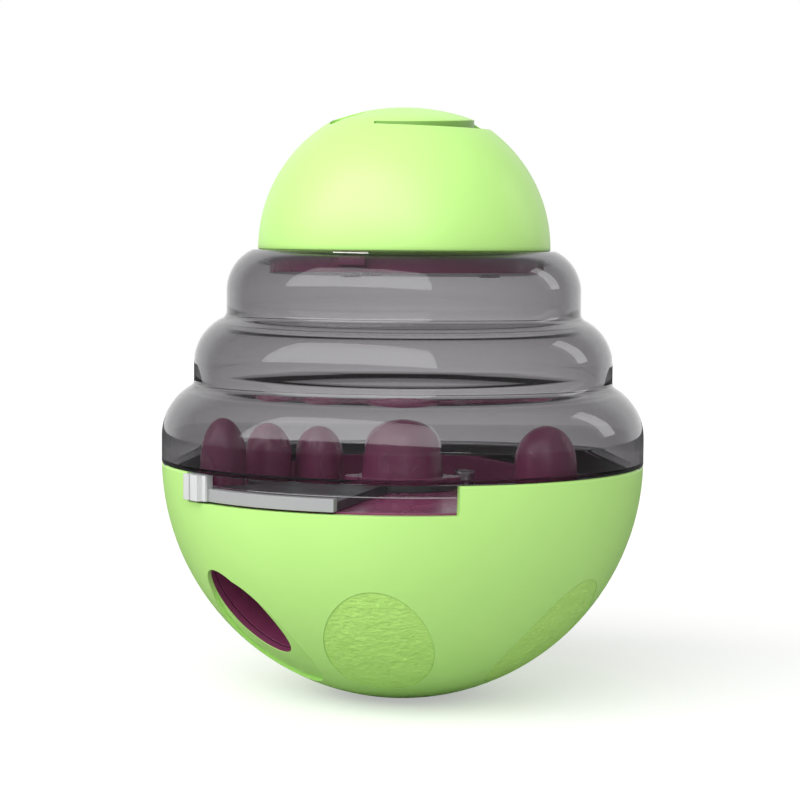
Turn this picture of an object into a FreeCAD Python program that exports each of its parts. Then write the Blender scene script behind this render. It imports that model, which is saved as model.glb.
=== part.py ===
import FreeCAD, Part
import math
import os

V = FreeCAD.Vector
Z_AXIS = V(0, 0, 1)

# Treat ball: a weighted lower bowl, a stepped clear cover and a domed filling cap on one upright axis.
# Millimetres. Floor at z = 0, axis on z. Azimuths are degrees round the axis, 0 towards the front (-Y)
# and rising towards +X. Heights called level are measured from the middle of the bowl's sphere.

# Lower bowl
bowl_radius = 55.0
bowl_wall = 2.4
foot_radius = 7.4
rim_level = -1.0
rim_chamfer = 0.4
ledge_width = 3.2
ledge_depth = 1.6
ledge_slope = 4.5

# Window in the rim where the thumb tab travels
window_left = -58.8
window_right = 12.6
window_floor_level = -7.4
window_cut_depth = 4.0

# Oval grips let into the bowl, and the oval hollow round the outlet
oval_half_width = 11.9
oval_half_height = 17.6
oval_elevation = -44.6
grip_azimuths = {
    "grip_pad_front": -7.1,
    "grip_pad_right": 55.8,
    "grip_pad_rear_right": 118.0,
    "grip_pad_rear": 180.0,
    "grip_pad_rear_left": 242.0,
}
grip_recess = 1.1
grip_below_surface = 0.35
inlay_gap = 0.05
hollow_depth = 0.9

# Outlet
outlet_azimuth = -51.6
outlet_elevation = -36.9
outlet_half_width = 8.2
outlet_half_height = 12.6
outlet_tilt = 20.7

# Cover
cover_wall = 2.0
tier_insets = (0.0, 7.25, 14.6)
tier_shoulder_starts = (5.0, 21.5, 38.0)
tier_shoulder_radii = (13.0, 11.3, 10.3)
groove_fillet = 1.8
skirt_level = -3.8
skirt_wall = 2.0
skirt_shoulder = 2.6
skirt_step = 1.0
seat_level = 47.3
mouth_inset = 9.4
lip_thickness = 1.2

# Quarter-turn lugs of the cover in the bowl's rim
cover_lug_azimuths = (45.0, 165.0, 285.0)
cover_lug_half_angle = 4.0
cover_lug_height = 1.4
cover_lug_reach = 1.0
lock_turn = 20.0
lug_gap_angle = 1.0

# Filling cap
cap_overhang = 2.3
cap_wall = 2.4
cap_centre_rise = 0.3
recess_depth = 1.3
recess_left = -9.6
recess_right = 15.6
recess_front = -14.4
recess_back = 12.0
recess_corner = 4.0
slot_width = 5.6
slot_front = -8.9
slot_length = 9.4
slot_offset = -13.4

# Plug under the cap
plug_drop = 4.7
plug_floor = 1.8
plug_wall = 2.0
plug_rise = 1.3
cap_lug_azimuths = (-20.5, 99.5, 219.5)
cap_lug_half_angle = 5.5
cap_lug_height = 1.8
cap_lug_reach = 1.7
cap_lug_gap_angle = 1.5
cap_boss_inset = 10.7

# Treat tray
tray_floor_level = -7.0
tray_thickness = 2.2
tray_rim_height = 2.6
tray_rim_wall = 1.6
peg_wall = 1.5
peg_foot_share = 0.93
peg_waist_share = 0.4
upstand_gap_angle = 3.0
# Pegs: azimuth, distance in from the bowl's side or out from the hub, radius, level of the top
rim_pegs = ((-73.3, 13.24, 5.1, 9.9), (69.44, 20.82, 7.0, 8.8))
hub_pegs = ((-95.53, 21.55, 5.4, 8.3), (-114.78, 11.88, 5.6, 7.4))
drop_left = -62.0
drop_right = -41.0
drop_inner_inset = 18.5
drop_outer_inset = 5.5

# Centre post
hub_radius = 9.6
post_radius = 8.7
post_top_level = 10.3
post_wall = 1.6
flange_thickness = 1.8
flange_radius = 10.6
post_foot_flare = 0.9
post_neck_flare = 0.6
post_neck_rise = 1.0
post_crown_share = 0.95
post_taper_rise = 4.5
post_tie_wall = 1.2
post_tie_depth = 4.0
lobe_count = 6
lobe_radius = 3.0
lobe_circle = 10.2
lobe_turn = 30.0

# Flow gate
gate_thickness = 2.0
gate_lift = 0.1
gate_ring_width = 3.3
gate_left = -64.0
gate_right = -15.4
gate_tail_left = -83.5
gate_tail_inset = 19.6
gate_band_inset = 1.3
gate_band_wall = 2.3
gate_band_top_level = -4.15
tab_angle = 7.6
tab_stop_angle = 0.25
tab_face_inset = 0.4
tab_rib_proud = 0.8
tab_ribs = ((0.0, 2.5), (3.2, 6.2))

# Chute
chute_wall = 1.6
chute_margin = 1.0
chute_floor_rise = 6.02
chute_reach_inset = 16.0
chute_flange_thickness = 1.2
chute_flange_angle = 6.0
chute_side_gap_angle = 0.5

# Counterweight
weight_radius = 21.2
weight_height = 10.7
weight_plate_thickness = 2.0
weight_rib_height = 1.6
weight_rib_wall = 1.2
weight_boss_gap = 0.8
weight_boss_azimuths = (8.0, 128.0, 248.0)

# Fasteners and fits
boss_radius = 3.0
screw_radius = 1.3
screw_head_radius = 2.5
screw_head_height = 1.5
screw_length = 8.0
short_screw_length = 5.0
pilot_gap = 0.4
tray_screw_inset = 9.6
tray_screw_azimuths = (72.0, 160.0, 250.0)
running_gap = 0.08
slide_gap = 0.15
loose_gap = 0.3

centre = math.sqrt(bowl_radius ** 2 - foot_radius ** 2)
bowl_inner = bowl_radius - bowl_wall
rim_z = centre + rim_level
tier_radii = tuple(bowl_radius - inset for inset in tier_insets)
mouth_radius = tier_radii[-1] - mouth_inset
floor_z = centre + tray_floor_level
tray_under_z = floor_z - tray_thickness
hub_top_z = floor_z + gate_lift + gate_thickness + 2 * gate_lift
seat_z = centre + seat_level
cap_centre_z = seat_z + cap_centre_rise
cap_radius = mouth_radius + cap_overhang
cap_inner = cap_radius - cap_wall
plug_radius = mouth_radius - loose_gap
cap_boss_circle = plug_radius - cap_boss_inset
plug_floor_z = seat_z - plug_drop
drop_inner = bowl_radius - drop_inner_inset
drop_outer = bowl_radius - drop_outer_inset
chute_wall_angle = math.degrees(chute_wall / drop_inner)
chute_reach = bowl_radius - chute_reach_inset
chute_floor_z = centre + bowl_radius * math.sin(math.radians(outlet_elevation)) + chute_floor_rise
weight_top_z = centre - bowl_inner + weight_height
weight_boss_circle = weight_radius + boss_radius + weight_boss_gap
tray_screw_circle = bowl_radius - tray_screw_inset
gate_tail_radius = bowl_radius - gate_tail_inset
gate_band_outer = bowl_radius - gate_band_inset
gate_band_inner = gate_band_outer - gate_band_wall
tab_face_radius = bowl_radius - tab_face_inset
tab_rib_radius = bowl_radius + tab_rib_proud
ball = V(0, 0, centre)
dome = V(0, 0, cap_centre_z)


def spot(radius, azimuth, z=0.0):
    a = math.radians(azimuth)
    return V(radius * math.sin(a), -radius * math.cos(a), z)


def sphere(radius, middle):
    return Part.makeSphere(radius, middle, Z_AXIS, -90, 90, 360)


def disc(radius, z0, z1, at=None):
    at = at or V(0, 0, 0)
    return Part.makeCylinder(radius, z1 - z0, V(at.x, at.y, z0))


def ring(inner, outer, z0, z1):
    return disc(outer, z0, z1).cut(disc(inner, z0 - 1, z1 + 1))


def sector(inner, outer, z0, z1, left, right):
    block = Part.makeCylinder(outer, z1 - z0, V(0, 0, z0), Z_AXIS, right - left)
    block.rotate(V(0, 0, 0), Z_AXIS, left - 90)
    return block.cut(disc(inner, z0 - 1, z1 + 1))


def height_on_sphere(radius, level):
    return math.sqrt(radius ** 2 - level ** 2)


def arc(mid_r, mid_z, radius, start, end):
    def at(angle):
        a = math.radians(angle)
        return V(mid_r + radius * math.cos(a), 0, mid_z + radius * math.sin(a))
    return Part.Arc(at(start), at((start + end) / 2), at(end)).toShape()


def line(a, b):
    return Part.makeLine(V(a[0], 0, a[1]), V(b[0], 0, b[1]))


def ends(edge):
    a = edge.valueAt(edge.FirstParameter)
    b = edge.valueAt(edge.LastParameter)
    return (a.x, a.z), (b.x, b.z)


def chain(steps):
    edges = []
    here = None
    for step in steps:
        if isinstance(step, tuple):
            if here is not None:
                edges.append(line(here, step))
            here = step
        else:
            start, end = ends(step)
            if here is not None and math.dist(here, start) > 1e-6:
                edges.append(line(here, start))
            edges.append(step)
            here = end
    return edges


def revolve(steps):
    first = steps[0]
    edges = chain(list(steps) + [first])
    face = Part.Face(Part.Wire(edges))
    solid = face.revolve(V(0, 0, 0), Z_AXIS, 360)
    return Part.makeSolid(Part.Shell(solid.Faces)) if solid.ShapeType != "Solid" else solid


def polar_angle(dr, dz):
    return math.degrees(math.atan2(dz, dr))


def oval_prism(half_width, half_height, azimuth, elevation, start, reach, tilt=0.0):
    ellipse = Part.Ellipse(V(0, 0, start), half_height, half_width)
    wire = Part.Wire(ellipse.toShape())
    prism = Part.Face(wire).extrude(V(0, 0, reach - start))
    prism.rotate(V(0, 0, 0), Z_AXIS, 90 + tilt)
    prism.rotate(V(0, 0, 0), V(1, 0, 0), 90 - elevation)
    prism.rotate(V(0, 0, 0), Z_AXIS, azimuth)
    prism.translate(ball)
    return prism


def screw(at, head_z, length, down=True):
    way = -1 if down else 1
    head = Part.makeCylinder(screw_head_radius, screw_head_height, V(at.x, at.y, head_z), V(0, 0, -way))
    shank = Part.makeCylinder(screw_radius, length, V(at.x, at.y, head_z), V(0, 0, way))
    arm, width, depth = 2 * screw_radius, screw_radius / 2, screw_head_height
    slot = Part.makeBox(arm, width, depth, V(-arm / 2, -width / 2, -depth / 2))
    cross = slot.fuse(Part.makeBox(width, arm, depth, V(-width / 2, -arm / 2, -depth / 2)))
    cross.translate(V(at.x, at.y, head_z - way * screw_head_height))
    return head.fuse(shank).cut(cross)


def grip_prism(azimuth, inset=0.0):
    return oval_prism(oval_half_width - inset, oval_half_height - inset, azimuth, oval_elevation,
                      bowl_radius / 2, bowl_radius * 1.1)


def outlet_prism(extra, start, reach):
    return oval_prism(outlet_half_width + extra, outlet_half_height + extra, outlet_azimuth,
                      outlet_elevation, start, reach, outlet_tilt)


def boss_in_bowl(circle, azimuth, top_z):
    post = disc(boss_radius, 0, top_z, spot(circle, azimuth))
    return post.common(sphere(bowl_inner + bowl_wall / 3, ball))


def make_bowl():
    rim_r = height_on_sphere(bowl_radius, rim_level)
    side_level = rim_level - rim_chamfer
    side_r = height_on_sphere(bowl_radius, side_level)
    outer = arc(0, centre, bowl_radius, polar_angle(foot_radius, -centre), polar_angle(side_r, side_level))
    bowl = revolve([(0, 0), (foot_radius, 0), outer, (rim_r - rim_chamfer, rim_z), (0, rim_z)])
    bowl = bowl.cut(sphere(bowl_inner, ball))

    ledge_r = height_on_sphere(bowl_inner, tray_under_z - centre) - ledge_width
    slope_under_z = tray_under_z - ledge_depth - ledge_slope
    ledge = revolve([(ledge_r, tray_under_z), (bowl_radius, tray_under_z), (bowl_radius, slope_under_z),
                     (ledge_r + ledge_width, slope_under_z), (ledge_r, tray_under_z - ledge_depth)])
    ledge = ledge.common(sphere(bowl_inner + bowl_wall / 3, ball))
    flange_under_z = tray_under_z - chute_flange_thickness - 2 * inlay_gap
    low = sector(ledge_r - 1, bowl_inner - ledge_width / 2, flange_under_z, tray_under_z + 1,
                 *chute_flange_limits(chute_side_gap_angle))
    gap = sector(ledge_r - 1, bowl_radius, tray_under_z - 2 * ledge_slope - ledge_depth, tray_under_z + 1,
                 *chute_limits(chute_wall_angle + chute_side_gap_angle))
    ledge = ledge.cut(low).cut(gap.common(sphere(bowl_inner, ball)))
    bowl = bowl.fuse(ledge)
    for azimuth in tray_screw_azimuths:
        bowl = bowl.fuse(boss_in_bowl(tray_screw_circle, azimuth, tray_under_z))
    plate_z = weight_top_z + inlay_gap
    for azimuth in weight_boss_azimuths:
        bowl = bowl.fuse(boss_in_bowl(weight_boss_circle, azimuth, plate_z))
    for azimuth in tray_screw_azimuths:
        at = spot(tray_screw_circle, azimuth)
        depth = screw_length - tray_thickness + pilot_gap
        bowl = bowl.cut(disc(screw_radius, tray_under_z - depth, tray_under_z + 1, at))
    for azimuth in weight_boss_azimuths:
        at = spot(weight_boss_circle, azimuth)
        depth = short_screw_length - weight_plate_thickness + pilot_gap
        bowl = bowl.cut(disc(screw_radius, plate_z - depth, plate_z + 1, at))

    bowl = bowl.cut(sector(bowl_inner - window_cut_depth, bowl_radius + 2, centre + window_floor_level,
                           rim_z + 1, window_left, window_right))
    bowl = bowl.cut(lock_slots())
    hollow_floor = sphere(bowl_radius - hollow_depth, ball)
    bowl = bowl.cut(grip_prism(outlet_azimuth).cut(hollow_floor))
    grip_floor = sphere(bowl_radius - grip_recess, ball)
    for azimuth in grip_azimuths.values():
        bowl = bowl.cut(grip_prism(azimuth).cut(grip_floor))
    return bowl.cut(outlet_prism(0, bowl_radius / 2, bowl_radius * 1.1))


def lock_slots():
    lug_top = centre + skirt_level + slide_gap + cover_lug_height
    run_top = lug_top + slide_gap
    floor = centre + skirt_level - slide_gap
    outer = lug_outer() + slide_gap
    slots = []
    for azimuth in cover_lug_azimuths:
        left = azimuth - cover_lug_half_angle - lug_gap_angle
        right = azimuth + cover_lug_half_angle + lug_gap_angle
        slots.append(sector(bowl_inner - bowl_wall, outer, floor, rim_z + 1, left, right))
        slots.append(sector(bowl_inner - bowl_wall, outer, floor, run_top, left - lock_turn, right))
    return slots[0].fuse(slots[1:])


def skirt_outer():
    return height_on_sphere(bowl_inner, skirt_level) - slide_gap


def lug_outer():
    return skirt_outer() + cover_lug_reach


def make_grip(azimuth):
    skin = sphere(bowl_radius - grip_below_surface, ball).cut(sphere(bowl_radius - grip_recess, ball))
    return skin.common(grip_prism(azimuth, inlay_gap))


def make_counterweight():
    body = sphere(bowl_inner - inlay_gap, ball).common(disc(weight_radius, 0, weight_top_z))
    eye = sphere(boss_radius, V(0, 0, weight_top_z))
    return body.cut(eye)


def make_weight_plate():
    z0 = weight_top_z + inlay_gap
    plate = disc(weight_boss_circle + boss_radius, z0, z0 + weight_plate_thickness)
    rib_top = z0 + weight_plate_thickness + weight_rib_height
    for azimuth in weight_boss_azimuths:
        rib = Part.makeBox(weight_rib_wall, weight_boss_circle - boss_radius * 2, rib_top - z0,
                           V(-weight_rib_wall / 2, -weight_boss_circle + boss_radius + 1, z0))
        rib.rotate(V(0, 0, 0), Z_AXIS, azimuth)
        plate = plate.fuse(rib)
    for azimuth in weight_boss_azimuths:
        at = spot(weight_boss_circle, azimuth)
        plate = plate.cut(disc(screw_radius, z0 - 1, rib_top + 1, at))
    return plate


def make_weight_screws():
    head_z = weight_top_z + inlay_gap + weight_plate_thickness
    return [screw(spot(weight_boss_circle, a), head_z, short_screw_length) for a in weight_boss_azimuths]


def chute_limits(extra=0.0):
    return drop_left - chute_margin - extra, drop_right + chute_margin + extra


def chute_flange_limits(extra=0.0):
    left, right = chute_limits(chute_flange_angle)
    return left - extra, right + extra


def make_chute():
    skin = bowl_inner - slide_gap
    top = tray_under_z - inlay_gap
    left, right = chute_limits()
    base = chute_floor_z
    shaft = sector(drop_inner - chute_wall, bowl_radius, base - chute_wall, top,
                   left - chute_wall_angle, right + chute_wall_angle)
    spout = outlet_prism(chute_wall, chute_reach - chute_wall, bowl_radius)
    under_tray = disc(bowl_radius, 0, top)
    body = shaft.fuse(spout).common(sphere(skin, ball)).common(under_tray)
    flange = sector(drop_inner - 2 * chute_wall, bowl_inner - ledge_width / 2 - slide_gap,
                    top - chute_flange_thickness, top, *chute_flange_limits())
    flange = flange.common(sphere(skin, ball))
    body = body.fuse(flange)
    well = sector(drop_inner, bowl_radius, base, top + 1, left, right).common(sphere(skin - chute_wall, ball))
    return body.cut(well).cut(outlet_prism(0, chute_reach, bowl_radius * 1.1))


def peg_places():
    rim = [(spot(bowl_radius - inset, azimuth), radius, top) for azimuth, inset, radius, top in rim_pegs]
    hub = [(spot(hub_radius + reach, azimuth), radius, top) for azimuth, reach, radius, top in hub_pegs]
    return rim + hub


def peg_solid(at, radius, top_level, base_z, inset=0.0):
    r = radius - inset
    top = centre + top_level - inset
    waist = floor_z + (top - floor_z) * peg_waist_share
    side = Part.BSplineCurve()
    side.interpolate(Points=[V(radius * peg_foot_share - inset, 0, base_z), V(r, 0, waist)],
                     InitialTangent=V(0, 0, 1), FinalTangent=V(0, 0, 1))
    solid = revolve([(0, base_z), side.toShape(), arc_dome(r, waist, top)])
    solid.translate(at)
    return solid


def make_tray():
    outer = height_on_sphere(bowl_inner, tray_under_z - centre) - slide_gap
    tray = disc(outer, tray_under_z, floor_z)
    upstand = sector(outer - tray_rim_wall, outer, tray_under_z, floor_z + tray_rim_height,
                     window_right + upstand_gap_angle, 360 + gate_left - upstand_gap_angle)
    tray = tray.fuse(upstand)
    tray = tray.fuse(disc(hub_radius, tray_under_z, hub_top_z))
    for at, radius, top in peg_places():
        tray = tray.fuse(peg_solid(at, radius, top, tray_under_z))
    for at, radius, top in peg_places():
        tray = tray.cut(peg_solid(at, radius, top, tray_under_z, peg_wall))
    tray = tray.cut(sector(drop_inner, drop_outer, tray_under_z - 1, floor_z + 1, drop_left, drop_right))
    for azimuth in tray_screw_azimuths:
        tray = tray.cut(disc(screw_radius, tray_under_z - 1, floor_z + 1, spot(tray_screw_circle, azimuth)))
    tray = tray.cut(disc(screw_radius, tray_under_z - 1, hub_top_z + 1))
    head_room = disc(screw_head_radius + loose_gap, tray_under_z - 1, tray_under_z + screw_head_height)
    return tray.cut(head_room)


def make_tray_screws():
    return [screw(spot(tray_screw_circle, a), floor_z, screw_length) for a in tray_screw_azimuths]


def make_post():
    z0 = hub_top_z
    top = centre + post_top_level
    flange_top = z0 + flange_thickness
    base = disc(flange_radius, z0, flange_top)
    for i in range(lobe_count):
        lobe = disc(lobe_radius, z0, flange_top, spot(lobe_circle, 360.0 / lobe_count * i + lobe_turn))
        base = base.fuse(lobe)
    waist = top - post_radius * post_crown_share
    crown = arc_dome(post_radius, waist, top)
    shell = revolve([(0, z0), (post_radius + post_foot_flare, z0),
                     (post_radius + post_neck_flare, flange_top + post_neck_rise),
                     (post_radius, flange_top + post_taper_rise), crown])
    inner_top = top - post_wall
    inner_r = post_radius - post_wall
    hollow = revolve([(0, z0 - 1), (inner_r, z0 - 1), arc_dome(inner_r, waist, inner_top)])
    boss = disc(boss_radius, z0, inner_top - post_wall)
    tie_z = waist - post_tie_depth
    tie_height = inner_top - waist + post_tie_depth / 2
    half = post_tie_wall / 2
    tie = Part.makeBox(2 * inner_r, post_tie_wall, tie_height, V(-inner_r, -half, tie_z))
    tie = tie.fuse(Part.makeBox(post_tie_wall, 2 * inner_r, tie_height, V(-half, -inner_r, tie_z)))
    core = boss.fuse(tie).common(hollow)
    post = base.fuse(shell).cut(hollow).fuse(core)
    grip = hub_top_z - tray_under_z - screw_head_height
    return post.cut(disc(screw_radius, z0 - 1, z0 + screw_length - grip + pilot_gap))


def arc_dome(radius, waist, top):
    points = []
    count = 8
    for i in range(count + 1):
        a = math.pi / 2 * i / count
        points.append(V(radius * math.cos(a), 0, waist + (top - waist) * math.sin(a)))
    curve = Part.BSplineCurve()
    curve.interpolate(Points=points, InitialTangent=V(0, 0, 1), FinalTangent=V(-1, 0, 0))
    return curve.toShape()


def make_post_screw():
    return screw(V(0, 0, 0), tray_under_z + screw_head_height, screw_length, down=False)


def make_gate():
    z0 = floor_z + gate_lift
    z1 = z0 + gate_thickness
    bore = hub_radius + running_gap
    band_left = window_left + tab_stop_angle
    plate_outer = height_on_sphere(bowl_inner, z0 - centre) - loose_gap
    hub = ring(bore, bore + gate_ring_width, z0, z1)
    tail = sector(bore + gate_ring_width / 2, gate_tail_radius, z0, z1, gate_tail_left, gate_right)
    plate = sector(gate_tail_radius - 1, plate_outer, z0, z1, gate_left, gate_right)
    band = sector(gate_band_inner, gate_band_outer, z0, centre + gate_band_top_level, band_left, gate_right)
    tab_top = rim_z - loose_gap
    tab_inner = skirt_outer() + loose_gap
    tab = sector(tab_inner, tab_face_radius, z0, tab_top, band_left, band_left + tab_angle)
    gate = hub.fuse([tail, plate, band, tab])
    for start, end in tab_ribs:
        rib = sector(tab_face_radius - 1, tab_rib_radius, z0, tab_top, band_left + start, band_left + end)
        gate = gate.fuse(rib)
    return gate.removeSplitter()


def tier_path(offset):
    steps = []
    for i in range(len(tier_radii)):
        wall = tier_radii[i] - offset
        start = centre + tier_shoulder_starts[i]
        radius = tier_shoulder_radii[i]
        mid = tier_radii[i] - radius
        if i + 1 < len(tier_radii):
            fillet = groove_fillet + offset
            out = tier_radii[i + 1] + groove_fillet
            rise = math.sqrt((radius + groove_fillet) ** 2 - (out - mid) ** 2)
            angle = polar_angle(out - mid, rise)
            steps.append(arc(mid, start, radius - offset, 0, angle))
            steps.append(arc(out, start + rise, fillet, angle + 180, 180))
        else:
            level = seat_z - (lip_thickness if offset else 0)
            angle = math.degrees(math.asin((level - start) / (radius - offset)))
            steps.append(arc(mid, start, radius - offset, 0, angle))
        if i == 0:
            first = (wall, start)
    return first, steps


def make_cover():
    skirt_out = skirt_outer()
    skirt_in = skirt_out - skirt_wall
    skirt_z = centre + skirt_level
    outer_start, outer = tier_path(0.0)
    inner_start, inner = tier_path(cover_wall)
    outline = [(skirt_in, skirt_z), (skirt_out, skirt_z), (skirt_out, rim_z),
               (height_on_sphere(bowl_radius, rim_level) - rim_chamfer, rim_z),
               (outer_start[0], rim_z + rim_chamfer)] + outer
    outline += [(mouth_radius, seat_z), (mouth_radius, seat_z - lip_thickness)]
    outline += [flip(edge) for edge in reversed(inner)]
    outline += [(inner_start[0], rim_z + skirt_step + skirt_shoulder), (skirt_in, rim_z + skirt_step)]
    cover = revolve(outline)
    lug_z = skirt_z + slide_gap
    for azimuth in cover_lug_azimuths:
        cover = cover.fuse(sector(skirt_out - skirt_wall / 2, lug_outer(), lug_z, lug_z + cover_lug_height,
                                  azimuth - cover_lug_half_angle, azimuth + cover_lug_half_angle))
    notch = cap_lug_half_angle + cap_lug_gap_angle
    for azimuth in cap_lug_azimuths:
        cover = cover.cut(sector(mouth_radius - 1, plug_radius + cap_lug_reach + loose_gap,
                                 seat_z - lip_thickness - 1, seat_z + 1, azimuth - notch, azimuth + notch))
    return cover


def flip(edge):
    first, last = edge.FirstParameter, edge.LastParameter
    a = edge.valueAt(last)
    m = edge.valueAt((first + last) / 2)
    b = edge.valueAt(first)
    return Part.Arc(a, m, b).toShape()


def rounded_plan(x0, x1, y0, y1, corner, z0, z1):
    block = Part.makeBox(x1 - x0, y1 - y0, z1 - z0, V(x0, y0, z0))
    upright = [e for e in block.Edges if abs(e.tangentAt(e.FirstParameter).z) > 0.9]
    return block.makeFillet(corner, upright)


def make_cap():
    outer = sphere(cap_radius, dome).common(disc(cap_radius + 1, cap_centre_z, cap_centre_z + cap_radius + 1))
    outer = outer.fuse(disc(cap_radius, seat_z, cap_centre_z))
    inner = sphere(cap_inner, dome).common(disc(cap_radius, cap_centre_z, cap_centre_z + cap_radius))
    inner = inner.fuse(disc(cap_inner, seat_z - 1, cap_centre_z))
    boss_z = plug_floor_z + plug_floor + inlay_gap
    cap = outer.cut(inner)
    room = sphere(cap_inner + cap_wall / 3, dome).fuse(disc(cap_inner, 0, cap_centre_z))
    for azimuth in cap_lug_azimuths:
        boss = disc(boss_radius, boss_z, cap_centre_z + cap_radius, spot(cap_boss_circle, azimuth))
        cap = cap.fuse(boss.common(room))
    floor = sphere(cap_radius - recess_depth, dome)
    top_z = cap_centre_z + cap_radius + 1
    cut_from = cap_centre_z + cap_radius / 3
    pocket = rounded_plan(recess_left, recess_right, recess_front, recess_back, recess_corner,
                          cut_from, top_z)
    slot = rounded_plan(slot_offset - slot_width / 2, slot_offset + slot_width / 2,
                        slot_front, slot_front + slot_length, slot_width / 2 - 0.05, cut_from, top_z)
    cap = cap.cut(pocket.cut(floor)).cut(slot.cut(floor))
    for azimuth in cap_lug_azimuths:
        at = spot(cap_boss_circle, azimuth)
        cap = cap.cut(disc(screw_radius, boss_z - 1, plug_floor_z + screw_length + pilot_gap, at))
    return cap


def make_plug():
    z0 = plug_floor_z
    top = seat_z + plug_rise
    plug = disc(plug_radius, z0, top).cut(disc(plug_radius - plug_wall, z0 + plug_floor, top + 1))
    lug_top = seat_z - lip_thickness - loose_gap
    for azimuth in cap_lug_azimuths:
        lug = sector(plug_radius - 1, plug_radius + cap_lug_reach, lug_top - cap_lug_height, lug_top,
                     azimuth - cap_lug_half_angle, azimuth + cap_lug_half_angle)
        plug = plug.fuse(lug)
        plug = plug.cut(disc(screw_radius, z0 - 1, z0 + plug_floor + 1, spot(cap_boss_circle, azimuth)))
    return plug


def make_cap_screws():
    return [screw(spot(cap_boss_circle, a), plug_floor_z, screw_length, down=False) for a in cap_lug_azimuths]


def save(name, shape):
    if isinstance(shape, list):
        shape = Part.makeCompound(shape)
    solids = shape.Solids
    whole = solids[0] if len(solids) == 1 else Part.makeCompound(solids)
    whole.exportStep("parts/" + name + ".step")
    print(name, len(solids), "solids", round(sum(s.Volume for s in solids), 1), "mm3", whole.isValid())


def main():
    os.makedirs("parts", exist_ok=True)
    save("bowl_shell", make_bowl())
    for name, azimuth in grip_azimuths.items():
        save(name, make_grip(azimuth))
    save("counterweight", make_counterweight())
    save("weight_cover", make_weight_plate())
    save("weight_screws", make_weight_screws())
    save("outlet_chute", make_chute())
    save("treat_tray", make_tray())
    save("tray_screws", make_tray_screws())
    save("centre_post", make_post())
    save("post_screw", make_post_screw())
    save("flow_gate", make_gate())
    save("smoke_cover", make_cover())
    save("top_cap", make_cap())
    save("cap_plug", make_plug())
    save("cap_screws", make_cap_screws())


main()
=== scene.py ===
import math

import bpy
from mathutils import Euler, Matrix, Vector


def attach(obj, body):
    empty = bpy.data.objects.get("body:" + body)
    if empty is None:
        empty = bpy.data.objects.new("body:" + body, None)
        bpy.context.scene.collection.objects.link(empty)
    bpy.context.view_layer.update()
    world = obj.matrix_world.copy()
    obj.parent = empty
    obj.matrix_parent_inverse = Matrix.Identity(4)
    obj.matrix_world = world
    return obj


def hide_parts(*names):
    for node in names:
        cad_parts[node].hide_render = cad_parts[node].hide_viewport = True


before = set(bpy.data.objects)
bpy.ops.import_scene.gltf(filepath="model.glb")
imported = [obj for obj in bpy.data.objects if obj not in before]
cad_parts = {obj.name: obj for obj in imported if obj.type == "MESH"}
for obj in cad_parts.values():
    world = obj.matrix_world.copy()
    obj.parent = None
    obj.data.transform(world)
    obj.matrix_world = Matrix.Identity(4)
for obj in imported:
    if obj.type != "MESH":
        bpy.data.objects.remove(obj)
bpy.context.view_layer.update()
print("frame loaded:", len(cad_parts), "nodes")

fullTurn = 2 * math.pi
joinGap = 0.000001
wedgeSteps, cornerSteps = 24, 8
shadeAngle = 40


# Small helpers. Each piece's dictionary is in millimetres, and its mesh is in metres.

def toMetres(values):
    return tuple(v / 1000 for v in values)


def around(radius, azimuth, height=0.0):
    a = math.radians(azimuth)
    return Vector((radius * math.sin(a), -radius * math.cos(a), height)) / 1000


def clearSelection():
    if bpy.context.mode != "OBJECT":
        bpy.ops.object.mode_set(mode="OBJECT")
    bpy.ops.object.select_all(action="DESELECT")


def pick(piece):
    clearSelection()
    piece.select_set(True)
    bpy.context.view_layer.objects.active = piece


def edit(piece):
    pick(piece)
    bpy.ops.object.mode_set(mode="EDIT")
    bpy.ops.mesh.select_all(action="SELECT")


def outwards(piece):
    edit(piece)
    bpy.ops.mesh.remove_doubles(threshold=joinGap)
    bpy.ops.mesh.normals_make_consistent(inside=False)
    bpy.ops.object.mode_set(mode="OBJECT")
    return piece


def settle(piece):
    pick(piece)
    bpy.ops.object.transform_apply(location=True, rotation=True, scale=True)
    return piece


def smooth(piece, angle=shadeAngle):
    pick(piece)
    bpy.ops.object.shade_smooth_by_angle(angle=math.radians(angle))
    return piece


def applyAll(piece):
    pick(piece)
    for modifier in list(piece.modifiers):
        bpy.ops.object.modifier_apply(modifier=modifier.name)
    return piece


def discard(piece):
    bpy.data.objects.remove(piece)


def joined(name, pieces):
    clearSelection()
    for piece in pieces:
        piece.select_set(True)
    bpy.context.view_layer.objects.active = pieces[0]
    bpy.ops.object.join()
    pieces[0].name = name
    return pieces[0]


def carve(piece, tool, way="DIFFERENCE"):
    cut = piece.modifiers.new("cut", "BOOLEAN")
    cut.operation = way
    cut.solver = "EXACT"
    cut.object = tool
    applyAll(piece)
    discard(tool)
    return piece


# A line of points in the X-Z plane, drawn one extrusion after another
def traced(name, points, closed=True):
    clearSelection()
    bpy.ops.mesh.primitive_plane_add(size=0.001, location=(0, 0, 0))
    piece = bpy.context.object
    piece.name = name
    edit(piece)
    bpy.ops.mesh.merge(type="CENTER")
    bpy.ops.transform.translate(value=(points[0][0] / 1000, 0, points[0][1] / 1000))
    for a, b in zip(points, points[1:]):
        step = ((b[0] - a[0]) / 1000, 0, (b[1] - a[1]) / 1000)
        bpy.ops.mesh.extrude_region_move(TRANSFORM_OT_translate={"value": step})
    bpy.ops.mesh.select_all(action="SELECT")
    if closed:
        bpy.ops.mesh.edge_face_add()
    bpy.ops.object.mode_set(mode="OBJECT")
    return piece


def turned(name, points, steps):
    piece = traced(name, points, closed=False)
    edit(piece)
    bpy.ops.mesh.spin(steps=steps, angle=fullTurn, center=(0, 0, 0), axis=(0, 0, 1))
    bpy.ops.object.mode_set(mode="OBJECT")
    return outwards(piece)


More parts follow.
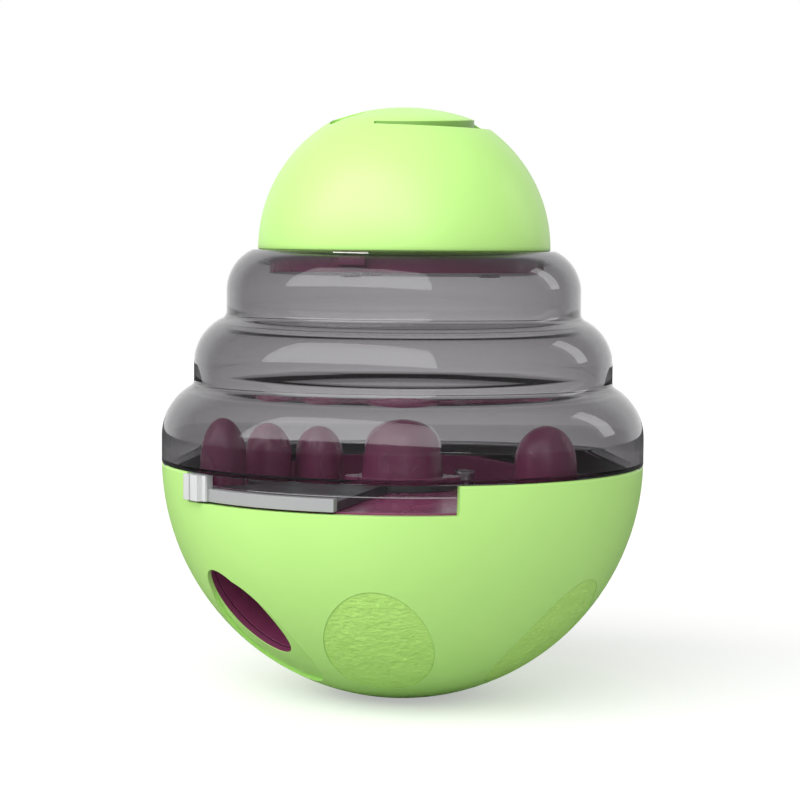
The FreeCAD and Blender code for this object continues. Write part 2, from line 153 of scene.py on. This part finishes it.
def arcRun(midR, midZ, radius, start, end, count):
    run = []
    for i in range(count + 1):
        a = math.radians(start + (end - start) * i / count)
        run.append((midR + radius * math.cos(a), midZ + radius * math.sin(a)))
    return run


# A block that bends round the axis from azimuth left to azimuth right
def wedge(inner, outer, low, high, left, right):
    piece = traced("wedge", [(inner, low), (outer, low), (outer, high), (inner, high)])
    edit(piece)
    bpy.ops.mesh.spin(steps=wedgeSteps, angle=math.radians(right - left), center=(0, 0, 0), axis=(0, 0, 1))
    bpy.ops.object.mode_set(mode="OBJECT")
    piece.rotation_euler = (0, 0, math.radians(right - 90))
    settle(piece)
    return outwards(piece)


def ballTool(radius, height, segments=256):
    clearSelection()
    bpy.ops.mesh.primitive_uv_sphere_add(segments=segments, ring_count=segments // 2, radius=radius / 1000,
                                         location=(0, 0, height / 1000))
    return settle(bpy.context.object)


# The ball that the bowl is cut from, standing on its foot, and the place of an oval on it
ball = {"radius": 55.0, "foot": 7.4, "rimLevel": -1.0}
ball["middle"] = math.sqrt(ball["radius"] ** 2 - ball["foot"] ** 2)
ball["rim"] = ball["middle"] + ball["rimLevel"]


def ovalPlace(azimuth, elevation):
    return (Matrix.Translation((0, 0, ball["middle"] / 1000))
            @ Matrix.Rotation(math.radians(azimuth), 4, "Z")
            @ Matrix.Rotation(math.radians(90 - elevation), 4, "X"))


# Oval grips: a sheet laid on the ball, grained, given its thickness and a soft edge

grip = {"halfWidth": 11.9, "halfHeight": 17.6, "elevation": -44.6, "gap": 0.035, "below": 0.12,
        "thickness": 0.85, "edge": 0.14, "edgeAngle": 50, "edgeSteps": 3, "shade": 60,
        "around": 220, "rings": 46, "ballSteps": 288, "clear": 60,
        "grainSize": 1.4, "grainHeight": 0.22, "plainRings": 2,
        "places": {"gripFront": (-7.1, "grip_pad_front"), "gripRight": (55.8, "grip_pad_right"),
                   "gripRearRight": (118.0, "grip_pad_rear_right"), "gripRear": (180.0, "grip_pad_rear"),
                   "gripRearLeft": (242.0, "grip_pad_rear_left")}}


def ovalSheet(name, around, rings):
    clearSelection()
    bpy.ops.mesh.primitive_circle_add(vertices=around, radius=1, fill_type="NOTHING")
    sheet = bpy.context.object
    sheet.name = name
    edit(sheet)
    for i in range(rings, 1, -1):
        bpy.ops.mesh.extrude_region_move()
        shrink = (i - 1) / i
        bpy.ops.transform.resize(value=(shrink, shrink, 1))
    bpy.ops.mesh.extrude_region_move()
    bpy.ops.mesh.merge(type="CENTER")
    bpy.ops.mesh.select_all(action="SELECT")
    bpy.ops.mesh.normals_make_consistent(inside=False)
    bpy.ops.object.mode_set(mode="OBJECT")
    if sheet.data.polygons[0].normal.z < 0:
        edit(sheet)
        bpy.ops.mesh.flip_normals()
        bpy.ops.object.mode_set(mode="OBJECT")
    return sheet


def makeGrip():
    sheet = ovalSheet("grip", grip["around"], grip["rings"])
    inner = sheet.vertex_groups.new(name="grained")
    limit = 1 - grip["plainRings"] / grip["rings"]
    inner.add([v.index for v in sheet.data.vertices if v.co.xy.length < limit], 1.0, "REPLACE")
    size = toMetres((grip["halfWidth"] - grip["gap"], grip["halfHeight"] - grip["gap"], 1))
    sheet.matrix_world = Matrix.Translation((0, 0, grip["clear"] / 1000)) @ Matrix.Diagonal((*size, 1))
    settle(sheet)
    target = ballTool(ball["radius"] - grip["below"], 0, grip["ballSteps"])
    wrap = sheet.modifiers.new("wrap", "SHRINKWRAP")
    wrap.target = target
    wrap.wrap_method = "PROJECT"
    wrap.use_project_z = True
    wrap.use_negative_direction = True
    wrap.use_positive_direction = False
    grain = bpy.data.textures.new("gripGrain", "VORONOI")
    grain.noise_scale = grip["grainSize"] / 1000
    grained = sheet.modifiers.new("grain", "DISPLACE")
    grained.texture = grain
    grained.texture_coords = "LOCAL"
    grained.strength = grip["grainHeight"] / 1000
    grained.mid_level = 0.5
    grained.vertex_group = "grained"
    wall = sheet.modifiers.new("wall", "SOLIDIFY")
    wall.thickness = grip["thickness"] / 1000
    wall.offset = -1
    edge = sheet.modifiers.new("edge", "BEVEL")
    edge.limit_method = "ANGLE"
    edge.angle_limit = math.radians(grip["edgeAngle"])
    edge.width = grip["edge"] / 1000
    edge.segments = grip["edgeSteps"]
    applyAll(sheet)
    discard(target)
    return sheet


def copyOf(piece, name, place):
    clearSelection()
    copy = piece.copy()
    copy.data = piece.data.copy()
    copy.name = name
    bpy.context.collection.objects.link(copy)
    copy.matrix_world = place
    return settle(copy)


def layGrips():
    pattern = makeGrip()
    pads = {}
    for name, (azimuth, node) in grip["places"].items():
        pads[name] = smooth(copyOf(pattern, name, ovalPlace(azimuth, grip["elevation"])), grip["shade"])
        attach(pads[name], "bowl")
        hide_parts(node)
    discard(pattern)
    return pads


gripPads = layGrips()
print("grips:", len(gripPads))


# Clear cover: three rounded tiers, a skirt that drops into the bowl, and a flat mouth for the cap

cover = {"radii": (55.0, 47.75, 40.4), "starts": (5.0, 21.5, 38.0), "shoulders": (13.0, 11.3, 10.3),
         "groove": 1.8, "innerGroove": 7.0, "wall": 2.0,
         "skirtOuter": 52.3125, "skirtWall": 1.3, "skirtLow": 50.7, "skirtEdge": 0.2,
         "rimTurn": 0.4, "rimTurnSteps": 4, "flange": (1.1, 0.6),
         "seat": 101.8, "mouth": 31.0, "lip": 1.2, "lipTurn": 0.3, "lipTurnSteps": 3,
         "steps": 320, "arcSteps": 22, "grooveSteps": 10,
         "lugAzimuths": (45.0, 165.0, 285.0), "lugHalfAngle": 4.0, "lugReach": 1.0, "lugRise": 0.15,
         "lugHeight": 1.4,
         "gapAzimuths": (-20.5, 99.5, 219.5), "gapHalfAngle": 7.0, "gapOuter": 32.7, "gapBeyond": 1.0}


def tierRun(offset):
    points = []
    radii, starts, shoulders = cover["radii"], cover["starts"], cover["shoulders"]
    fillet = cover["innerGroove"] if offset else cover["groove"]
    for i, wall in enumerate(radii):
        start = ball["middle"] + starts[i]
        mid = wall - shoulders[i]
        radius = shoulders[i] - offset
        if i + 1 < len(radii):
            out = radii[i + 1] - offset + fillet
            rise = math.sqrt((radius + fillet) ** 2 - (out - mid) ** 2)
            angle = math.degrees(math.atan2(rise, out - mid))
            points += arcRun(mid, start, radius, 0, angle, cover["arcSteps"])
            points += arcRun(out, start + rise, fillet, angle + 180, 180, cover["grooveSteps"])[1:]
        else:
            level = cover["seat"] - (cover["lip"] if offset else 0)
            angle = math.degrees(math.asin((level - start) / radius))
            points += arcRun(mid, start, radius, 0, angle, cover["arcSteps"])
    return points


def coverProfile():
    rim, seat, mouth = ball["rim"], cover["seat"], cover["mouth"]
    skirtOuter, skirtLow, edge = cover["skirtOuter"], cover["skirtLow"], cover["skirtEdge"]
    skirtInner = skirtOuter - cover["skirtWall"]
    inner = tierRun(cover["wall"])
    turn, lipTurn = cover["rimTurn"], cover["lipTurn"]
    points = [(skirtInner, skirtLow), (skirtOuter - edge, skirtLow), (skirtOuter, skirtLow + edge),
              (skirtOuter, rim)]
    points += arcRun(cover["radii"][0] - turn, rim + turn, turn, -90, 0, cover["rimTurnSteps"])
    points += tierRun(0)
    points += arcRun(mouth + lipTurn, seat - lipTurn, lipTurn, 90, 180, cover["lipTurnSteps"])
    points += [(mouth, seat - cover["lip"])]
    points += list(reversed(inner))
    outerRise, innerRise = cover["flange"]
    points += [(inner[0][0], rim + outerRise), (skirtInner, rim + innerRise), points[0]]
    return points


def makeCover():
    piece = turned("smokeCover", coverProfile(), cover["steps"])
    low = cover["skirtLow"] + cover["lugRise"]
    lugs = [wedge(cover["skirtOuter"] - cover["skirtWall"] / 2, cover["skirtOuter"] + cover["lugReach"], low,
                  low + cover["lugHeight"], a - cover["lugHalfAngle"], a + cover["lugHalfAngle"])
            for a in cover["lugAzimuths"]]
    carve(piece, joined("lugs", lugs), "UNION")
    beyond = cover["gapBeyond"]
    gaps = [wedge(cover["mouth"] - beyond, cover["gapOuter"], cover["seat"] - cover["lip"] - beyond,
                  cover["seat"] + beyond, a - cover["gapHalfAngle"], a + cover["gapHalfAngle"])
            for a in cover["gapAzimuths"]]
    carve(piece, joined("gaps", gaps))
    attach(piece, "cover")
    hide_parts("smoke_cover")
    return smooth(piece)


smokeCover = makeCover()
print("cover:", len(smokeCover.data.polygons), "faces")


# Filling cap: a thin dome with a flatter crown, a curved groove in the crown's edge, and a small slot

cap = {"radius": 33.3, "wall": 2.4, "middle": 102.1, "low": 101.8, "edgeTurn": 0.35, "edgeTurnSteps": 3,
       "steps": 256, "arcSteps": 64, "cutFrom": 10.0, "cutBeyond": 1.0,
       "slot": (-16.95, -9.0, -8.9, 0.5, 2.7), "slotDepth": 1.3,
       "crownReach": 17.0, "crownCurve": 46.0, "crownTop": 134.1, "crownSteps": 192,
       "grooveOuter": (0.9, -0.5, 18.5), "grooveInner": (0.0, -2.0, 15.6), "grooveRun": (-23.5, 108.0),
       "grooveSteps": 72, "endSteps": 10, "grooveDepth": 1.9}


def capProfile():
    inner = cap["radius"] - cap["wall"]
    turn = cap["edgeTurn"]
    points = list(reversed(arcRun(0, cap["middle"], cap["radius"], 0, 90, cap["arcSteps"])))
    points += arcRun(cap["radius"] - turn, cap["low"] + turn, turn, 0, -90, cap["edgeTurnSteps"])[1:]
    points += [(inner, cap["low"])] + arcRun(0, cap["middle"], inner, 0, 90, cap["arcSteps"])
    points[0], points[-1] = (0, points[0][1]), (0, points[-1][1])
    return points


def roundedBlock(left, right, front, back, corner, low, high):
    clearSelection()
    bpy.ops.mesh.primitive_plane_add(size=1)
    block = bpy.context.object
    edit(block)
    bpy.ops.transform.resize(value=((right - left) / 1000, (back - front) / 1000, 1))
    bpy.ops.transform.translate(value=toMetres(((left + right) / 2, (front + back) / 2, low)))
    bpy.ops.mesh.bevel(offset=corner / 1000, segments=cornerSteps, affect="VERTICES")
    bpy.ops.mesh.extrude_region_move(TRANSFORM_OT_translate={"value": (0, 0, (high - low) / 1000)})
    bpy.ops.object.mode_set(mode="OBJECT")
    return outwards(block)


# The groove's outline is two arcs, each with its own middle, and round ends
def grooveArc(circle, start, end):
    x, y, radius = circle
    return arcRun(x, y, radius, start - 90, end - 90, cap["grooveSteps"])


def roundEnd(a, b):
    middle = ((a[0] + b[0]) / 2, (a[1] + b[1]) / 2)
    radius, start = math.dist(a, b) / 2, math.degrees(math.atan2(a[1] - middle[1], a[0] - middle[0]))
    return arcRun(*middle, radius, start, start + 180, cap["endSteps"])[1:-1]


def grooveBlock(low, high):
    left, right = cap["grooveRun"]
    outer, inner = grooveArc(cap["grooveOuter"], left, right), grooveArc(cap["grooveInner"], right, left)
    block = traced("groove", outer + roundEnd(outer[-1], inner[0]) + inner + roundEnd(inner[-1], outer[0]))
    block.rotation_euler = (-math.pi / 2, 0, 0)
    block.location = (0, 0, low / 1000)
    edit(settle(block))
    bpy.ops.mesh.extrude_region_move(TRANSFORM_OT_translate={"value": (0, 0, (high - low) / 1000)})
    bpy.ops.object.mode_set(mode="OBJECT")
    return outwards(block)


def makeCap():
    piece = turned("topCap", capProfile(), cap["steps"])
    low, high = cap["middle"] + cap["cutFrom"], cap["middle"] + cap["radius"] + cap["cutBeyond"]
    slot = roundedBlock(*cap["slot"], low, high)
    carve(piece, carve(slot, ballTool(cap["radius"] - cap["slotDepth"], cap["middle"])))
    bpy.ops.mesh.primitive_cylinder_add(vertices=cap["crownSteps"], radius=cap["crownReach"] / 1000,
                                        depth=0.1, location=(0, 0, high / 1000))
    crown = settle(bpy.context.object)
    carve(piece, carve(crown, ballTool(cap["crownCurve"], cap["crownTop"] - cap["crownCurve"])))
    groove = carve(grooveBlock(low, high), ballTool(cap["radius"] - cap["grooveDepth"], cap["middle"]))
    carve(piece, groove)
    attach(piece, "cap")
    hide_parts("top_cap")
    return smooth(piece)


topCap = makeCap()
print("cap:", len(topCap.data.polygons), "faces")


# Cap screws: low heads against the plug's floor, each with a cross sunk in it

capScrew = {"circle": 20.0, "azimuths": (-20.5, 99.5, 219.5), "floor": 97.1,
            "headRadius": 2.5, "headHeight": 0.6, "turn": 0.2, "radius": 1.27, "length": 8.0, "point": 0.4,
            "steps": 64, "cross": (2.6, 0.65, 0.45), "crossCorner": 0.1, "crossBelow": 1.0}


def screwProfile():
    floor, turn, point = capScrew["floor"], capScrew["turn"], capScrew["point"]
    head, low, end = capScrew["headRadius"], floor - capScrew["headHeight"], floor + capScrew["length"]
    return [(0, low), (head - turn, low), (head, low + turn), (head, floor), (capScrew["radius"], floor),
            (capScrew["radius"], end - point), (capScrew["radius"] - point, end), (0, end)]


def makeCapScrews():
    arm, width, depth = capScrew["cross"]
    low = capScrew["floor"] - capScrew["headHeight"]
    pattern = turned("capScrew", screwProfile(), capScrew["steps"])
    for across, along in ((arm, width), (width, arm)):
        carve(pattern, roundedBlock(-across / 2, across / 2, -along / 2, along / 2, capScrew["crossCorner"],
                                    low - capScrew["crossBelow"], low + depth))
    places = [Matrix.Translation(around(capScrew["circle"], azimuth)) for azimuth in capScrew["azimuths"]]
    piece = joined("capScrews", [copyOf(pattern, "capScrew", place) for place in places])
    discard(pattern)
    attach(piece, "cap")
    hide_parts("cap_screws")
    return smooth(piece)


capScrews = makeCapScrews()
print("cap screws:", len(capScrews.data.polygons), "faces")


# Finishes. Every size and place here is in metres on Object coordinates.

noiseSpan = (0.3, 0.7)
cloudDetail, smearDetail, grainDetail = 2.0, 4.0, 3.0
edgeSamples = 6
paintFade = 0.00005


def newFinish(name):
    finish = bpy.data.materials.new(name)
    finish.use_nodes = True
    nodes = finish.node_tree.nodes
    return finish, nodes, finish.node_tree.links, nodes["Principled BSDF"]


def noiseOn(nodes, links, size, detail, squash=1.0):
    place = nodes.new("ShaderNodeTexCoord")
    stretch = nodes.new("ShaderNodeVectorMath")
    stretch.operation = "MULTIPLY"
    stretch.inputs[1].default_value = (1, 1, squash)
    noise = nodes.new("ShaderNodeTexNoise")
    noise.inputs["Scale"].default_value = 1 / size
    noise.inputs["Detail"].default_value = detail
    links.new(place.outputs["Object"], stretch.inputs[0])
    links.new(stretch.outputs["Vector"], noise.inputs["Vector"])
    return noise.outputs["Fac"]


def rangeOf(nodes, links, source, low, high):
    spread = nodes.new("ShaderNodeMapRange")
    spread.inputs["From Min"].default_value, spread.inputs["From Max"].default_value = noiseSpan
    spread.inputs["To Min"].default_value = low
    spread.inputs["To Max"].default_value = high
    links.new(source, spread.inputs["Value"])
    return spread.outputs["Result"]


def mottled(nodes, links, source, pale, deep):
    blend = nodes.new("ShaderNodeMix")
    blend.data_type = "RGBA"
    blend.inputs["A"].default_value = (*pale, 1)
    blend.inputs["B"].default_value = (*deep, 1)
    links.new(source, blend.inputs["Factor"])
    return blend.outputs["Result"]


def bumped(nodes, links, source, height, strength, edge):
    bump = nodes.new("ShaderNodeBump")
    bump.inputs["Distance"].default_value = height
    bump.inputs["Strength"].default_value = strength
    links.new(source, bump.inputs["Height"])
    if edge:
        turn = nodes.new("ShaderNodeBevel")
        turn.samples = edgeSamples
        turn.inputs["Radius"].default_value = edge
        links.new(turn.outputs["Normal"], bump.inputs["Normal"])
    return bump.outputs["Normal"]


# Moulded plastics, rubber and metal: the colour and its deeper shade, the gloss and its smears, and the grain
looks = {
    "greenShell": {"pale": (0.515, 0.87, 0.245), "deep": (0.49, 0.84, 0.23), "cloud": 0.035,
                   "rough": (0.36, 0.44), "smear": 0.012,
                   "grain": 0.00032, "height": 0.00002, "strength": 0.35, "edge": 0.00025},
    "gripRubber": {"pale": (0.50, 0.84, 0.20), "deep": (0.46, 0.79, 0.175), "cloud": 0.004,
                   "rough": (0.5, 0.62), "smear": 0.003,
                   "grain": 0.0013, "squash": 2.2, "height": 0.0004, "strength": 0.9, "edge": 0.0},
    "plumPlastic": {"pale": (0.23, 0.045, 0.115), "deep": (0.20, 0.038, 0.10), "cloud": 0.02,
                    "rough": (0.2, 0.3), "smear": 0.008,
                    "grain": 0.0004, "height": 0.00002, "strength": 0.2, "edge": 0.0003},
    "gateGrey": {"pale": (0.66, 0.665, 0.67), "deep": (0.62, 0.625, 0.63), "cloud": 0.015,
                 "rough": (0.38, 0.48), "smear": 0.006,
                 "grain": 0.0003, "height": 0.00002, "strength": 0.25, "edge": 0.00025},
    "castWeight": {"pale": (0.10, 0.10, 0.105), "deep": (0.055, 0.053, 0.052), "cloud": 0.004,
                   "rough": (0.55, 0.75), "smear": 0.002,
                   "grain": 0.0007, "height": 0.00015, "strength": 0.8, "edge": 0.0006, "metal": 0.6},
    "screwZinc": {"pale": (0.62, 0.64, 0.67), "deep": (0.50, 0.51, 0.53), "cloud": 0.0015,
                  "rough": (0.2, 0.36), "smear": 0.001,
                  "grain": 0.0002, "height": 0.00003, "strength": 0.4, "edge": 0.00015, "metal": 1.0},
}


# 1 inside a ball, or inside an upright cylinder where flat, and 0 beyond it
def within(nodes, links, middle, radius, flat=False):
    place = nodes.new("ShaderNodeTexCoord")
    shift = nodes.new("ShaderNodeVectorMath")
    shift.operation = "SUBTRACT"
    shift.inputs[1].default_value = middle
    links.new(place.outputs["Object"], shift.inputs[0])
    spot = shift.outputs["Vector"]
    if flat:
        press = nodes.new("ShaderNodeVectorMath")
        press.operation = "MULTIPLY"
        press.inputs[1].default_value = (1, 1, 0)
        links.new(spot, press.inputs[0])
        spot = press.outputs["Vector"]
    reach = nodes.new("ShaderNodeVectorMath")
    reach.operation = "LENGTH"
    links.new(spot, reach.inputs[0])
    edge = nodes.new("ShaderNodeMapRange")
    edge.inputs["From Min"].default_value = radius - paintFade
    edge.inputs["From Max"].default_value = radius + paintFade
    edge.inputs["To Min"].default_value = 1
    edge.inputs["To Max"].default_value = 0
    links.new(reach.outputs["Value"], edge.inputs["Value"])
    return edge.outputs["Result"]


def both(nodes, links, one, other):
    join = nodes.new("ShaderNodeMath")
    join.operation = "MULTIPLY"
    links.new(one, join.inputs[0])
    links.new(other, join.inputs[1])
    return join.outputs["Value"]


def laidOver(nodes, links, under, colour, where):
    blend = nodes.new("ShaderNodeMix")
    blend.data_type = "RGBA"
    blend.inputs["B"].default_value = (*colour, 1)
    links.new(under, blend.inputs["A"])
    links.new(where, blend.inputs["Factor"])
    return blend.outputs["Result"]


# Paint over the green and grey: each is a colour and the balls or upright cylinders that it lies inside. The
# bowl's wall is plum in the outlet and carries near-black painted shade inside the rim, and the gate's plate
# is darker than its band. The groove and the slot in the cap carry painted shade, a deeper green, more than a
# set depth below its surface.
paint = {"outlet": (0.20, 0.038, 0.10), "outletTurn": -51.6, "outletPlace": (0, -0.0424, -0.0318),
         "outletReach": 0.016, "outletWall": 0.0539,
         # Near-black painted shade on the inside of the bowl's wall near its rim
         "rim": (0.006, 0.006, 0.007), "rimShadePlace": (0, 0.12, 0.2), "rimShadeReach": 0.2475, "rimShadeWall": 0.0548,
         "band": (0.36, 0.365, 0.37), "bandReach": 0.0541,
         "plate": (0.035, 0.042, 0.043), "plateReach": 0.0512,
         # Deeper green painted shade in the cap's groove and slot, more than a set depth below the cap's
         # surface
         "groove": (0.23, 0.46, 0.09), "grooveShadePlace": (0.012, -0.012, 0.13), "grooveShadeReach": 0.021,
         "slot": (0.36, 0.66, 0.15), "slotShadePlace": (-0.013, -0.004, 0.132), "slotShadeReach": 0.0085,
         "skin": 0.00012}


def paintsOver():
    middle = Vector((0, 0, ball["middle"] / 1000))
    turn = Matrix.Rotation(math.radians(paint["outletTurn"]), 3, "Z")
    outlet = middle + turn @ Vector(paint["outletPlace"])
    dome = (Vector((0, 0, cap["middle"] / 1000)), cap["radius"] / 1000 - paint["skin"])
    crown = (Vector((0, 0, (cap["crownTop"] - cap["crownCurve"]) / 1000)),
             cap["crownCurve"] / 1000 - paint["skin"])
    axis = Vector((0, 0, 0))
    return {"bowlGreen": [(paint["outlet"], (middle, paint["outletWall"]), (outlet, paint["outletReach"])),
                          # near-black painted shade inside the bowl's rim
                          (paint["rim"], (middle, paint["rimShadeWall"]),
                           (middle + Vector(paint["rimShadePlace"]), paint["rimShadeReach"]))],
            "gateGrey": [(paint["band"], (axis, paint["bandReach"], True)),
                         (paint["plate"], (axis, paint["plateReach"], True))],
            # painted shade in the cap's groove and slot
            "capGreen": [(paint["groove"], dome, crown, (Vector(paint["grooveShadePlace"]), paint["grooveShadeReach"])),
                         (paint["slot"], dome, crown, (Vector(paint["slotShadePlace"]), paint["slotShadeReach"]))]}


def mouldedFinish(name, base=None):
    look = looks[base or name]
    finish, nodes, links, shader = newFinish(name)
    cloud = rangeOf(nodes, links, noiseOn(nodes, links, look["cloud"], cloudDetail), 0, 1)
    colour = mottled(nodes, links, cloud, look["pale"], look["deep"])
    for coat, first, *others in paintsOver().get(name, ()):
        where = within(nodes, links, *first)
        for other in others:
            where = both(nodes, links, where, within(nodes, links, *other))
        colour = laidOver(nodes, links, colour, coat, where)
    links.new(colour, shader.inputs["Base Color"])
    smear = noiseOn(nodes, links, look["smear"], smearDetail)
    links.new(rangeOf(nodes, links, smear, *look["rough"]), shader.inputs["Roughness"])
    grain = noiseOn(nodes, links, look["grain"], grainDetail, look.get("squash", 1.0))
    relief = bumped(nodes, links, grain, look["height"], look["strength"], look["edge"])
    links.new(relief, shader.inputs["Normal"])
    shader.inputs["Metallic"].default_value = look.get("metal", 0.0)
    return finish


# The cover's grey lies in the depth of its wall, so its edges and grooves are darker than its faces
smoke = {"grey": (0.05, 0.03, 0.06), "density": 330.0, "rough": (0.006, 0.018), "ripple": 0.02,
         "rippleDetail": 1.0, "bend": 1.4, "lampsThrough": 0.9}


def smokeFinish():
    finish, nodes, links, shader = newFinish("smokeClear")
    shader.inputs["Base Color"].default_value = (1, 1, 1, 1)
    shader.inputs["Transmission Weight"].default_value = 1.0
    shader.inputs["IOR"].default_value = smoke["bend"]
    ripple = noiseOn(nodes, links, smoke["ripple"], smoke["rippleDetail"])
    links.new(rangeOf(nodes, links, ripple, *smoke["rough"]), shader.inputs["Roughness"])
    through = nodes.new("ShaderNodeBsdfTransparent")
    through.inputs["Color"].default_value = (*[smoke["lampsThrough"]] * 3, 1)
    path = nodes.new("ShaderNodeLightPath")
    either = nodes.new("ShaderNodeMixShader")
    links.new(path.outputs["Is Shadow Ray"], either.inputs["Fac"])
    links.new(shader.outputs["BSDF"], either.inputs[1])
    links.new(through.outputs["BSDF"], either.inputs[2])
    links.new(either.outputs["Shader"], nodes["Material Output"].inputs["Surface"])
    depth = nodes.new("ShaderNodeVolumeAbsorption")
    depth.inputs["Color"].default_value = (*smoke["grey"], 1)
    depth.inputs["Density"].default_value = smoke["density"]
    links.new(depth.outputs["Volume"], nodes["Material Output"].inputs["Volume"])
    return finish


def dress(piece, finish):
    piece.data.materials.clear()
    piece.data.materials.append(finish)


finishes = {name: mouldedFinish(name) for name in looks}
finishes["bowlGreen"] = mouldedFinish("bowlGreen", "greenShell")
finishes["capGreen"] = mouldedFinish("capGreen", "greenShell")
finishes["smokeClear"] = smokeFinish()
nodeFinishes = {"bowl_shell": "bowlGreen", "outlet_chute": "plumPlastic", "counterweight": "castWeight",
                "weight_cover": "plumPlastic", "weight_screws": "screwZinc", "treat_tray": "plumPlastic",
                "tray_screws": "screwZinc", "centre_post": "plumPlastic", "post_screw": "screwZinc",
                "flow_gate": "gateGrey", "cap_plug": "plumPlastic"}
for node, name in nodeFinishes.items():
    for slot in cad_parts[node].material_slots:
        slot.material = finishes[name]
for pad in gripPads.values():
    dress(pad, finishes["gripRubber"])
dress(smokeCover, finishes["smokeClear"])
dress(topCap, finishes["capGreen"])
dress(capScrews, finishes["screwZinc"])
print("finishes:", len(finishes))


# Studio: a pale lit floor, large soft lights, and the camera, whose turns are radians

studio = {"floorRadius": 1.5, "floorColour": (0.62, 0.62, 0.62), "floorShine": (0.08, 0.08, 0.08),
          "floorRough": 0.9, "floorGloss": 0.2, "glow": (0.42, 0.80), "glowFrom": 0.2,
          "backdrop": 1.0, "backdropSpan": (0.55, 0.8), "air": 0.44,
          "lens": 105.2, "cameraPlace": (0, -0.5345, 0.10505), "tip": 0.0701, "pan": 0.0013, "roll": 0.0081}
# A light's sizes are metres and degrees. It faces the ball's axis and leans down by its tilt.
lights = {"frontLeft": {"size": (1.9, 1.23), "azimuth": -32, "distance": 0.8, "height": 0.95, "tilt": 0,
                        "power": 26},
          "backRight": {"size": (0.14, 0.4), "azimuth": 112, "distance": 0.7, "height": 0.35, "tilt": 22,
                        "power": 0.4}}


# 1 where the eye, or the eye through the clear cover, meets it, and 0 for light that it throws on the ball
def seenPlain(nodes, links):
    path = nodes.new("ShaderNodeLightPath")
    either = nodes.new("ShaderNodeMath")
    either.operation = "MAXIMUM"
    links.new(path.outputs["Is Camera Ray"], either.inputs[0])
    links.new(path.outputs["Is Transmission Ray"], either.inputs[1])
    return either.outputs["Value"]


def makeFloor():
    clearSelection()
    bpy.ops.mesh.primitive_circle_add(vertices=128, radius=studio["floorRadius"], fill_type="TRIFAN")
    floor = bpy.context.object
    floor.name = "paleFloor"
    finish, nodes, links, shader = newFinish("floorPaint")
    path = nodes.new("ShaderNodeLightPath")
    colour = mottled(nodes, links, path.outputs["Is Glossy Ray"], studio["floorColour"], studio["floorShine"])
    links.new(colour, shader.inputs["Base Color"])
    shader.inputs["Roughness"].default_value = studio["floorRough"]
    shader.inputs["Specular IOR Level"].default_value = studio["floorGloss"]
    shader.inputs["Emission Color"].default_value = (1, 1, 1, 1)
    place = nodes.new("ShaderNodeTexCoord")
    reach = nodes.new("ShaderNodeVectorMath")
    reach.operation = "LENGTH"
    glow = nodes.new("ShaderNodeMapRange")
    glow.inputs["From Min"].default_value = studio["glowFrom"]
    glow.inputs["From Max"].default_value = studio["floorRadius"]
    glow.inputs["To Min"].default_value, glow.inputs["To Max"].default_value = studio["glow"]
    links.new(place.outputs["Object"], reach.inputs[0])
    links.new(reach.outputs["Value"], glow.inputs["Value"])
    seen = nodes.new("ShaderNodeMath")
    seen.operation = "MULTIPLY"
    links.new(glow.outputs["Result"], seen.inputs[0])
    links.new(seenPlain(nodes, links), seen.inputs[1])
    links.new(seen.outputs["Value"], shader.inputs["Emission Strength"])
    dress(floor, finish)


def makeLight(name):
    look = lights[name]
    lamp = bpy.data.lights.new(name, "AREA")
    lamp.shape = "RECTANGLE"
    lamp.size, lamp.size_y = look["size"]
    lamp.energy = look["power"]
    light = bpy.data.objects.new(name, lamp)
    bpy.context.collection.objects.link(light)
    light.location = around(1000 * look["distance"], look["azimuth"], 1000 * look["height"])
    light.rotation_euler = (math.radians(90 - look["tilt"]), 0, math.radians(look["azimuth"]))
    light.visible_camera = False


def makeCamera():
    lens = bpy.data.cameras.new("camera")
    lens.lens = studio["lens"]
    camera = bpy.data.objects.new("camera", lens)
    bpy.context.collection.objects.link(camera)
    aim = Euler((math.pi / 2 - studio["tip"], 0, studio["pan"])).to_matrix()
    turn = aim @ Matrix.Rotation(studio["roll"], 3, "Z")
    camera.matrix_world = Matrix.Translation(studio["cameraPlace"]) @ turn.to_4x4()
    bpy.context.scene.camera = camera


def makeWorld():
    world = bpy.data.worlds.new("studioAir")
    bpy.context.scene.world = world
    world.use_nodes = True
    nodes, links = world.node_tree.nodes, world.node_tree.links
    air = nodes["Background"]
    air.inputs["Color"].default_value = (1, 1, 1, 1)
    way = nodes.new("ShaderNodeTexCoord")
    parts = nodes.new("ShaderNodeSeparateXYZ")
    links.new(way.outputs["Generated"], parts.inputs["Vector"])
    back = nodes.new("ShaderNodeMapRange")
    back.interpolation_type = "SMOOTHSTEP"
    back.inputs["From Min"].default_value, back.inputs["From Max"].default_value = studio["backdropSpan"]
    back.inputs["To Min"].default_value = studio["air"]
    back.inputs["To Max"].default_value = studio["backdrop"]
    links.new(parts.outputs["Y"], back.inputs["Value"])
    pale = nodes.new("ShaderNodeMix")
    pale.inputs["B"].default_value = studio["backdrop"]
    links.new(seenPlain(nodes, links), pale.inputs["Factor"])
    links.new(back.outputs["Result"], pale.inputs["A"])
    links.new(pale.outputs["Result"], air.inputs["Strength"])


makeFloor()
for name in lights:
    makeLight(name)
makeCamera()
makeWorld()
bpy.context.scene.view_settings.view_transform = "Standard"
print("studio ready")
